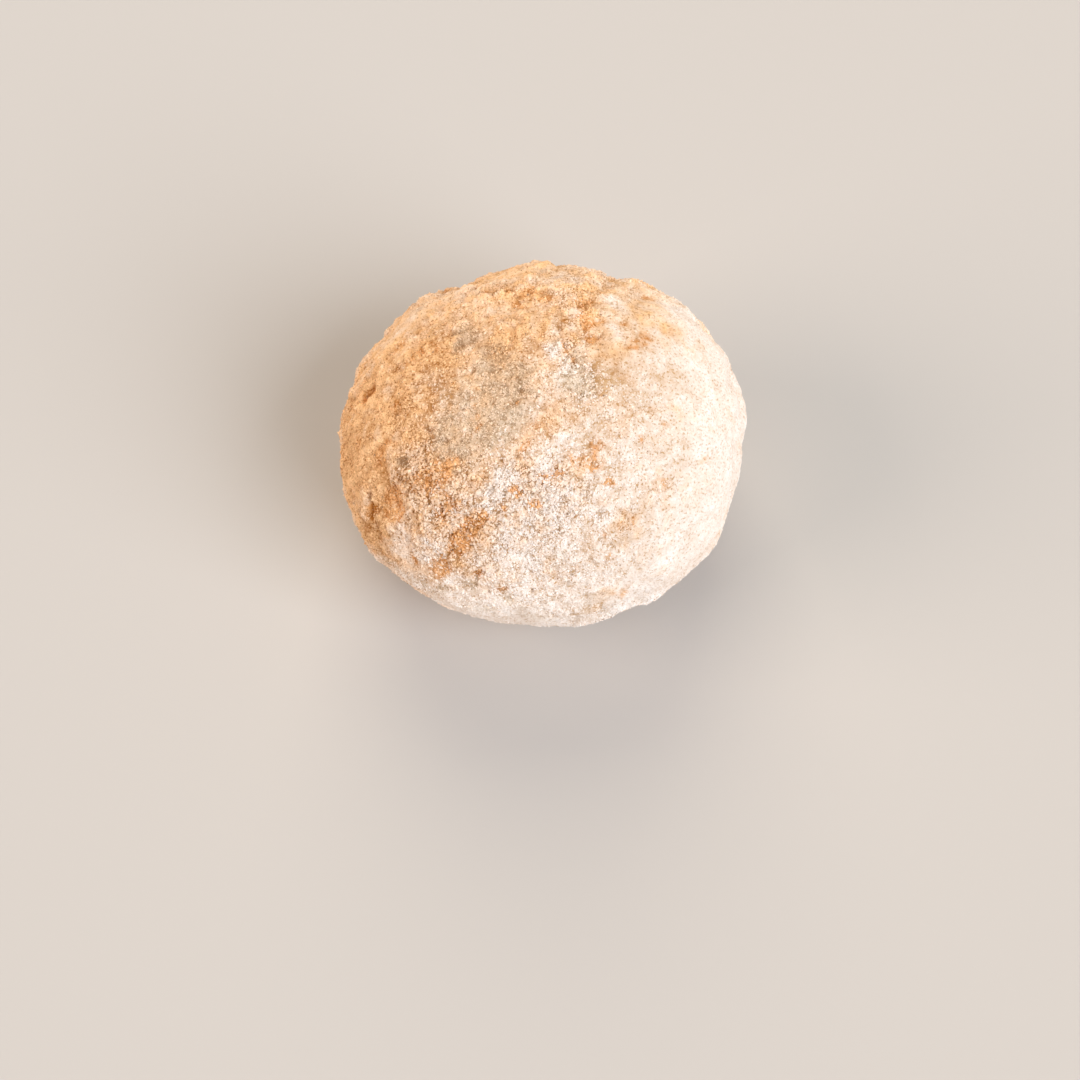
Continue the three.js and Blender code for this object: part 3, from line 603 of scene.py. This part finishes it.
def closed_grid_mesh(name, points, values):
    """A mesh of a square grid whose whole border is one point, with `values` as attributes.

    Every border corner is the same vertex, so border squares are triangles and the four corner
    squares vanish. The bake map is the flat grid itself.
    """
    size = points.shape[0]
    row, column = np.meshgrid(np.arange(size), np.arange(size), indexing="ij")
    on_border = (row == 0) | (row == size - 1) | (column == 0) | (column == size - 1)
    index = np.cumsum(~on_border.ravel()).reshape(size, size)
    index[on_border] = 0
    vertices = np.concatenate([points[0, 0][None], points[~on_border]])
    flat = np.stack([row, column], -1) / (size - 1)
    corners = [(slice(0, -1), slice(0, -1)), (slice(1, None), slice(0, -1))]
    corners += [(slice(1, None), slice(1, None)), (slice(0, -1), slice(1, None))]
    squares = np.stack([index[c] for c in corners], -1).reshape(-1, 4)
    square_flat = np.stack([flat[c] for c in corners], -2).reshape(-1, 4, 2)

    on_rim = (squares == 0).sum(1)
    whole = on_rim == 0
    edge = on_rim == 2
    rim_squares = squares[edge]
    rim_flat = square_flat[edge]
    first = np.argmax((rim_squares == 0) & (np.roll(rim_squares, -1, 1) == 0), 1)
    order = (first[:, None] + np.array([1, 2, 3])) % 4
    triangles = np.take_along_axis(rim_squares, order, 1)
    triangle_flat = np.take_along_axis(rim_flat, order[..., None], 1)

    mesh = bpy.data.meshes.new(name)
    mesh.from_pydata(vertices * MM, [], squares[whole].tolist() + triangles.tolist())
    bake_map = mesh.uv_layers.new(name="OFBake")
    loops = np.concatenate([square_flat[whole].reshape(-1, 2), triangle_flat.reshape(-1, 2)])
    bake_map.data.foreach_set("uv", loops.ravel().astype(np.float32))
    for key, grid in values.items():
        attribute = mesh.attributes.new(key, "FLOAT", "POINT")
        spread_out = np.concatenate([grid[0, 0][None], grid[~on_border]])
        attribute.data.foreach_set("value", spread_out.astype(np.float32))
    mesh.polygons.foreach_set("use_smooth", np.ones(len(mesh.polygons), bool))
    mesh.update()
    return mesh


def add_piece(name, mesh, material):
    """Puts a finished mesh in the scene as one piece of the sweet, riding on its one body."""
    mesh.materials.append(material)
    piece = bpy.data.objects.new(name, mesh)
    bpy.context.scene.collection.objects.link(piece)
    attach(piece, "root")
    return piece


def new_group(name, inputs, outputs):
    """An empty node group with the named sockets, and its input and output nodes."""
    group = bpy.data.node_groups.new(name, "ShaderNodeTree")
    for socket, kind in inputs:
        group.interface.new_socket(socket, in_out="INPUT", socket_type=kind)
    for socket, kind in outputs:
        group.interface.new_socket(socket, in_out="OUTPUT", socket_type=kind)
    return group, group.nodes.new("NodeGroupInput"), group.nodes.new("NodeGroupOutput")


def mix_colours(tree, share, below, above):
    """A node that mixes two colours by `share`; each may be a socket or a plain colour."""
    node = tree.nodes.new("ShaderNodeMix")
    node.data_type = "RGBA"
    plugs = (node.inputs[0], node.inputs[6], node.inputs[7])
    for plug, value in zip(plugs, (share, below, above)):
        if isinstance(value, bpy.types.NodeSocket):
            tree.links.new(value, plug)
        elif isinstance(value, tuple):
            plug.default_value = (*value, 1)
        else:
            plug.default_value = value
    return node.outputs[2]


def calculate(tree, operation, first, second=0.0, third=0.0):
    """A math node's result; each operand may be a socket or a number."""
    node = tree.nodes.new("ShaderNodeMath")
    node.operation = operation
    for plug, value in zip(node.inputs, (first, second, third)):
        if isinstance(value, bpy.types.NodeSocket):
            tree.links.new(value, plug)
        else:
            plug.default_value = value
    return node.outputs[0]


def kept_between(tree, value, low, high):
    """A value that is `low` at least and `high` at most."""
    return calculate(tree, "MINIMUM", calculate(tree, "MAXIMUM", value, low), high)


def noise_at(tree, place, scale, detail):
    """A noise node that reads a place, finer as `scale` grows and rougher as `detail` does."""
    noise = tree.nodes.new("ShaderNodeTexNoise")
    noise.inputs["Detail"].default_value = detail
    tree.links.new(place, noise.inputs["Vector"])
    tree.links.new(scale, noise.inputs["Scale"])
    return noise


def flour_colour_group():
    """Colour of the flour from how pale, damp, thin and toned it is.

    The tone runs from the brown between clumps to the cream on top of them, partly the flour's own
    colour and partly painted shade between the clumps and painted light on their tops, in a toasted and
    in a pale pair of colours that `Pale` blends; the pale pair is partly painted light too. Thin turns
    them towards greyer pairs, which `Pale` blends too, and damp turns them orange-brown.
    """
    values = ("Pale", "Damp", "Thin", "Tone")
    group, given, result = new_group(
        "flour colour", [(v, "NodeSocketFloat") for v in values], [("Color", "NodeSocketColor")]
    )
    pale, damp, thin, tone = (given.outputs[v] for v in values)
    # The low colours are partly painted shade: the dim, warm light deep between the clumps.
    low = mix_colours(group, pale, (0.40, 0.165, 0.04), (0.54, 0.325, 0.155))
    high = mix_colours(group, pale, (0.97, 0.645, 0.36), (0.945, 0.87, 0.815))
    flour = mix_colours(group, tone, low, high)
    low_grey = mix_colours(group, pale, (0.35, 0.20, 0.10), (0.38, 0.27, 0.17))
    high_grey = mix_colours(group, pale, (0.78, 0.54, 0.34), (0.84, 0.70, 0.55))
    grey = mix_colours(group, tone, low_grey, high_grey)
    flour = mix_colours(group, calculate(group, "MULTIPLY", thin, 0.8), flour, grey)
    wet = mix_colours(group, tone, (0.42, 0.15, 0.025), (0.90, 0.50, 0.22))
    flour = mix_colours(group, calculate(group, "MULTIPLY", damp, 0.92), flour, wet)
    group.links.new(flour, result.inputs["Color"])
    return group


def flour_grain_group():
    """Fine grain on the surface: a height for bumps, a speckle from 0 to 1, and pits and gaps in it.

    A cell pattern, its places moved by noise, gives grains; a gap is 1 on a cell's edge and falls to
    0 at a sixth of a cell from it, and a wider noise closes some gaps and opens others. Pits are the
    lowest places of a finer noise. With `Open` at 0 the gaps are gone and the pits are shallow. The
    speckle is the noise, and the height is the noise less the gaps and pits.
    """
    group, given, result = new_group(
        "flour grain",
        [("Grains per mm", "NodeSocketFloat"), ("Open", "NodeSocketFloat")],
        [(result_name, "NodeSocketFloat") for result_name in ("Height", "Speckle", "Gap", "Pit")],
    )
    place = group.nodes.new("ShaderNodeTexCoord").outputs["Object"]
    scale = calculate(group, "MULTIPLY", given.outputs["Grains per mm"], 1000.0)
    noise = noise_at(group, place, calculate(group, "MULTIPLY", scale, 1.3), 2)
    centred = group.nodes.new("ShaderNodeVectorMath")
    centred.operation = "SUBTRACT"
    centred.inputs[1].default_value = (0.5, 0.5, 0.5)
    group.links.new(noise.outputs["Color"], centred.inputs[0])
    shifted = group.nodes.new("ShaderNodeVectorMath")
    shifted.operation = "SCALE"
    group.links.new(centred.outputs[0], shifted.inputs[0])
    group.links.new(calculate(group, "DIVIDE", 1.6, scale), shifted.inputs["Scale"])
    moved = group.nodes.new("ShaderNodeVectorMath")
    moved.operation = "ADD"
    group.links.new(place, moved.inputs[0])
    group.links.new(shifted.outputs[0], moved.inputs[1])
    cells = group.nodes.new("ShaderNodeTexVoronoi")
    cells.feature = "DISTANCE_TO_EDGE"
    group.links.new(moved.outputs[0], cells.inputs["Vector"])
    group.links.new(scale, cells.inputs["Scale"])
    gap = calculate(group, "SUBTRACT", 1.0, calculate(group, "MULTIPLY", cells.outputs["Distance"], 6.0))
    gap = calculate(group, "MAXIMUM", gap, 0.0)
    patchy = noise_at(group, place, calculate(group, "MULTIPLY", scale, 0.45), 1)
    openness = calculate(group, "MULTIPLY_ADD", patchy.outputs["Fac"], 6.5, -2.45)
    openness = kept_between(group, openness, 0.0, 1.5)
    gap = calculate(group, "MULTIPLY", gap, calculate(group, "MULTIPLY", openness, given.outputs["Open"]))
    group.links.new(gap, result.inputs["Gap"])
    finer = noise_at(group, place, calculate(group, "MULTIPLY", scale, 1.5), 2)
    pit = kept_between(group, calculate(group, "MULTIPLY_ADD", finer.outputs["Fac"], -13.0, 5.5), 0.0, 1.0)
    pit_depth = calculate(group, "MULTIPLY_ADD", given.outputs["Open"], 0.6, 0.4)
    pit = calculate(group, "MULTIPLY", pit, pit_depth)
    group.links.new(pit, result.inputs["Pit"])
    hollow = calculate(group, "MULTIPLY", calculate(group, "MAXIMUM", gap, pit), 0.5)
    height = calculate(group, "SUBTRACT", noise.outputs["Fac"], hollow)
    group.links.new(height, result.inputs["Height"])
    speckle = calculate(group, "MULTIPLY_ADD", noise.outputs["Fac"], 2.4, 0.5 - 1.2)
    group.links.new(kept_between(group, speckle, 0.0, 1.0), result.inputs["Speckle"])
    return group


flour_colour = flour_colour_group()
flour_grain = flour_grain_group()


def place_group(tree, group):
    """A node in the tree that uses a node group."""
    node = tree.nodes.new("ShaderNodeGroup")
    node.node_tree = group
    return node


def flour_material(name, grains_per_mm, speckle, gap, pit, bump):
    """A dry matte flour finish that reads how the coat is from the mesh.

    The mesh's tone is made lighter and darker by a fine speckle, by up to `speckle` each way, and
    darker by up to `gap` in the gaps between grains and `pit` in the pits, as painted shade in them.
    """
    material = bpy.data.materials.new(name)
    material.use_nodes = True
    tree = material.node_tree
    shader = tree.nodes["Principled BSDF"]
    shader.inputs["Roughness"].default_value = 0.95
    shader.inputs["Specular IOR Level"].default_value = 0.2

    colour = place_group(tree, flour_colour)
    read = {}
    for key in ("pale", "damp", "thin", "tone", "open"):
        reader = tree.nodes.new("ShaderNodeAttribute")
        reader.attribute_name = key
        read[key] = reader.outputs["Fac"]
    for key in ("pale", "damp", "thin"):
        tree.links.new(read[key], colour.inputs[key.capitalize()])
    grain = place_group(tree, flour_grain)
    grain.inputs["Grains per mm"].default_value = grains_per_mm
    tree.links.new(read["open"], grain.inputs["Open"])
    change = calculate(tree, "MULTIPLY", grain.outputs["Speckle"], 2 * speckle)
    tone = calculate(tree, "ADD", calculate(tree, "SUBTRACT", read["tone"], speckle), change)
    # Painted shade: the gaps between grains and the pits are darkened in colour as well as lowered in the
    # bump.
    tone = calculate(tree, "SUBTRACT", tone, calculate(tree, "MULTIPLY", grain.outputs["Gap"], gap))
    tone = calculate(tree, "SUBTRACT", tone, calculate(tree, "MULTIPLY", grain.outputs["Pit"], pit))
    tree.links.new(kept_between(tree, tone, 0.0, 1.0), colour.inputs["Tone"])
    tree.links.new(colour.outputs["Color"], shader.inputs["Base Color"])

    bumps = tree.nodes.new("ShaderNodeBump")
    bumps.inputs["Strength"].default_value = 1.0
    bumps.inputs["Distance"].default_value = bump * MM
    tree.links.new(grain.outputs["Height"], bumps.inputs["Height"])
    tree.links.new(bumps.outputs["Normal"], shader.inputs["Normal"])
    return material


coat_values = {key: coat_states[key] for key in ("pale", "damp", "thin", "tone", "open")}
# Painted shade: the coat under the crumbs is darker where they gather, so the gaps between them read as
# shade.
shade_under_crumbs = coat_states["tone"] - 0.03 - 0.1 * coat_states["grainy"] - 0.1 * coat_states["thin"]
coat_mesh = closed_grid_mesh("flour_coat", coat_points, {**coat_values, "tone": np.clip(shade_under_crumbs, 0, 1)})
coat = add_piece("flour_coat", coat_mesh, flour_material("pressed_flour", 1.9, 0.12, 0.5, 1.0, 0.2))
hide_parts("ohagi")


# ---- The loose flour --------------------------------------------------------------------------------
# Ground roasted soybeans keep a range of crumb sizes. The finest sit everywhere, granules and clumps
# gather where the coat is lumpy or damp, and flecks of brown bean skin lie scattered among them.


def grid_normals(points):
    """Outward unit normals of the grid: the cross product of its two directions of step."""
    normals = np.cross(np.gradient(points, axis=0), np.gradient(points, axis=1))
    normals /= np.linalg.norm(normals, axis=-1, keepdims=True) + 1e-12
    middle = np.array([0, 0, WIDEST_LEVEL])
    return normals * np.sign((normals * (points - middle)).sum(-1, keepdims=True))


coat_normals = grid_normals(coat_points)


def square_corners(grid):
    """The values at the four corners of every square of the grid, one row for each square."""
    corners = (grid[:-1, :-1], grid[1:, :-1], grid[1:, 1:], grid[:-1, 1:])
    return np.stack([c.reshape(-1, *grid.shape[2:]) for c in corners], 1)


def scattered(count, wanted, draw):
    """Places on the coat with their normals and coat values, closer together where `wanted` is high.

    A square is drawn by its area times what is wanted there, and a place in it by two numbers s and
    t, which weigh its corners by (1-s)(1-t), s(1-t), st and (1-s)t.
    """
    corners = square_corners(coat_points)
    area = np.linalg.norm(np.cross(corners[:, 2] - corners[:, 0], corners[:, 3] - corners[:, 1]), axis=-1) / 2
    clear_of_base = corners[:, :, 2].min(1) > 0.3
    weight = area * clear_of_base * square_corners(wanted).mean(1)
    chosen = draw.choice(len(weight), count, p=weight / weight.sum())
    s, t = draw.random((2, count))
    shares = np.stack([(1 - s) * (1 - t), s * (1 - t), s * t, (1 - s) * t], 1)
    places = (corners[chosen] * shares[..., None]).sum(1)
    normals = (square_corners(coat_normals)[chosen] * shares[..., None]).sum(1)
    normals /= np.linalg.norm(normals, axis=-1, keepdims=True)
    read = {**coat_values, "calm": coat_states["calm"], "grainy": coat_states["grainy"]}
    values = {key: (square_corners(grid)[chosen] * shares).sum(1) for key, grid in read.items()}
    return places, normals, values


def turned(vectors, turns):
    """Each crumb's vectors turned by its unit quaternion: v + 2 q x (q x v + w v)."""
    w, q = turns[:, None, :1], turns[:, None, 1:]
    return vectors + 2 * np.cross(q, np.cross(q, vectors) + w * vectors)


def flat_faces(across, down):
    """One bake-map face on each side of a crumb, from its three corners' places across and down."""
    return np.stack([np.stack(across, -1), np.tile(down, (len(across[0]), 1))], -1)


def crumb_mesh(name, places, normals, lengths, sides, rings, thickness, unevenness, sunk, values, draw):
    """Closed crumbs of flour in one mesh.

    Each is a ball of `rings` rings of `sides` corners between two poles. Every corner's distance
    from the middle is drawn within `unevenness`, the ball is flattened to `thickness` of its length,
    turned at random, and set `sunk` of its half length below the surface. The bake map gives every
    crumb a square of its own, with its sides across and its rings down.
    """
    count = len(places)
    polar = np.pi * np.arange(1, rings + 1) / (rings + 1)
    bearing = 2 * np.pi * np.arange(sides) / sides
    p, b = (grid.ravel() for grid in np.meshgrid(polar, bearing, indexing="ij"))
    ring_corners = np.stack([np.sin(p) * np.cos(b), np.sin(p) * np.sin(b), np.cos(p)], -1)
    ball = np.concatenate([[[0, 0, 1]], ring_corners, [[0, 0, -1]]])
    shape = ball * draw.uniform(1 - unevenness, 1 + unevenness, (count, len(ball), 1))
    shape = shape * np.stack(
        [np.ones(count), draw.uniform(0.65, 1, count), draw.uniform(*thickness, count)], -1
    )[:, None]
    turns = draw.normal(size=(count, 4))
    turns /= np.linalg.norm(turns, axis=-1, keepdims=True)
    halves = lengths[:, None] / 2
    middles = places - normals * halves * sunk[:, None]
    vertices = turned(shape * halves[..., None], turns) + middles[:, None]
    vertices[..., 2] = np.maximum(vertices[..., 2], 0.01)

    side = np.arange(sides)
    after = (side + 1) % sides
    last = len(ball) - 1
    top = np.stack([np.zeros(sides, int), 1 + side, 1 + after], -1)
    low_ring = 1 + (rings - 1) * sides
    bottom = np.stack([np.full(sides, last), low_ring + after, low_ring + side], -1)
    faces = [top, bottom]
    flats = [flat_faces((side + 0.5, side, side + 1), (0, 1, 1))]
    flats.append(flat_faces((side + 0.5, side + 1, side), (rings + 1, rings, rings)))
    for ring in range(rings - 1):
        upper = 1 + ring * sides
        lower = upper + sides
        faces.append(np.stack([upper + side, lower + side, lower + after], -1))
        faces.append(np.stack([upper + side, lower + after, upper + after], -1))
        down = ring + 1
        flats.append(flat_faces((side, side, side + 1), (down, down + 1, down + 1)))
        flats.append(flat_faces((side, side + 1, side + 1), (down, down + 1, down)))
    faces = np.concatenate(faces)
    flat = np.concatenate(flats) / [sides, rings + 1]

    across = int(np.ceil(np.sqrt(count)))
    number = np.arange(count)
    cell = np.stack([number % across, number // across], -1)
    loops = (cell[:, None, None] + 0.06 + 0.88 * flat[None]) / across
    all_faces = (faces[None] + (number * len(ball))[:, None, None]).reshape(-1, 3)

    mesh = bpy.data.meshes.new(name)
    mesh.from_pydata(vertices.reshape(-1, 3) * MM, [], all_faces.tolist())
    bake_map = mesh.uv_layers.new(name="OFBake")
    bake_map.data.foreach_set("uv", loops.ravel().astype(np.float32))
    for key, value in values.items():
        attribute = mesh.attributes.new(key, "FLOAT", "POINT")
        attribute.data.foreach_set("value", np.repeat(value, len(ball)).astype(np.float32))
    mesh.polygons.foreach_set("use_smooth", np.full(len(mesh.polygons), rings > 1))
    mesh.update()
    return mesh


def scatter_crumbs(name, material, seed, count, wanted, sizes, sides, rings, thickness, sunk, tones):
    """One piece of `count` crumbs with lengths and tones drawn between two limits.

    Where the coat is calm the tones are drawn closer together and the crumbs are sunk deeper, where
    it is thin they are a little lighter, and where it is grainy they are paler, partly as a painted
    highlight, and stand higher. A crumb is damp or thin like the coat under it only if a number drawn
    for it is low enough, and its tone follows the tone of the coat by half, and so takes half of the
    coat's painted shade and light.
    """
    draw = np.random.default_rng(seed)
    places, normals, values = scattered(count, wanted, draw)
    calm_here = values.pop("calm")
    grainy_here = values.pop("grainy")
    shortest, longest = sizes
    lengths = shortest * (longest / shortest) ** draw.random(count) ** 1.7
    tones = draw.uniform(*tones, count)
    tones += 0.5 * calm_here * (0.72 - tones) + 0.1 * values["thin"]
    values["tone"] = np.clip(tones + 0.5 * (values["tone"] - 0.6), 0, 1)
    values["damp"] = ramp(0.8 * values["damp"] - draw.random(count), -0.15, 0.35)
    values["thin"] = ramp(0.95 * values["thin"] - draw.random(count), -0.3, 0.4)
    # Paler where grainy: partly whiter crumbs and partly a painted highlight on the lit grains.
    values["pale"] = np.clip(values["pale"] + draw.uniform(-0.06, 0.06, count) + 0.2 * grainy_here, 0, 1)
    depths = sunk + 0.4 * calm_here - 0.25 * grainy_here
    mesh = crumb_mesh(name, places, normals, lengths, sides, rings, thickness, 0.35, depths, values, draw)
    return add_piece(name, mesh, material)


loose_flour = flour_material("loose_flour", 4.0, 0.06, 0.1, 0.1, 0.05)
lumpy = coat_states["lumpy"]
calm = coat_states["calm"]
grainy = coat_states["grainy"]
damp = coat_states["damp"]
thin = coat_states["thin"]
tone = coat_states["tone"]
rough = 1.2 - calm
bare = rough * (1 - 0.7 * thin)

scatter_crumbs(
    "fine_flour", loose_flour, seed=3, count=24800, wanted=0.8 + thin,
    sizes=(0.22, 0.38), sides=4, rings=1, thickness=(0.6, 1), sunk=0.2, tones=(0.7, 1.0),
)
scatter_crumbs(
    "ground_flour", loose_flour, seed=4, count=24800, wanted=0.3 + tone,
    sizes=(0.3, 0.55), sides=4, rings=1, thickness=(0.6, 1), sunk=0.25, tones=(0.7, 1.0),
)
scatter_crumbs(
    "coarse_flour", loose_flour, seed=5, count=24800, wanted=bare * (0.5 + grainy),
    sizes=(0.36, 0.75), sides=4, rings=1, thickness=(0.5, 0.9), sunk=0.25, tones=(0.7, 1.0),
)
scatter_crumbs(
    "flour_clumps", loose_flour, seed=7, count=1800, wanted=bare * (0.1 + lumpy**2),
    sizes=(0.5, 1.3), sides=6, rings=3, thickness=(0.35, 0.6), sunk=0.55, tones=(0.6, 0.9),
)
scatter_crumbs(
    "toasted_granules", loose_flour, seed=9, count=14000, wanted=rough * (0.3 + grainy + damp),
    sizes=(0.2, 0.38), sides=4, rings=1, thickness=(0.5, 1), sunk=0.1, tones=(0.0, 0.4),
)


# ---- The bean-skin flecks ---------------------------------------------------------------------------
# Bits of roasted bean skin too tough to grind fine: thin, dark brown to black, lying in the flour.


def bean_skin_material():
    """Dark brown skin with a slight gloss, mottled by a fine noise."""
    material = bpy.data.materials.new("bean_skin")
    material.use_nodes = True
    tree = material.node_tree
    shader = tree.nodes["Principled BSDF"]
    shader.inputs["Roughness"].default_value = 0.7
    grain = place_group(tree, flour_grain)
    grain.inputs["Grains per mm"].default_value = 3.0
    grain.inputs["Open"].default_value = 0.5
    own_tone = tree.nodes.new("ShaderNodeAttribute")
    own_tone.attribute_name = "tone"
    base = mix_colours(tree, own_tone.outputs["Fac"], (0.22, 0.14, 0.09), (0.50, 0.28, 0.13))
    share = calculate(tree, "MULTIPLY", grain.outputs["Speckle"], 0.3)
    lighter = mix_colours(tree, share, base, (0.5, 0.33, 0.2))
    tree.links.new(lighter, shader.inputs["Base Color"])
    return material


scatter_crumbs(
    "bean_skin_flecks", bean_skin_material(), seed=11, count=1600, wanted=rough * (0.3 + thin + damp),
    sizes=(0.2, 0.42), sides=4, rings=1, thickness=(0.3, 0.5), sunk=-0.2, tones=(0, 1),
)
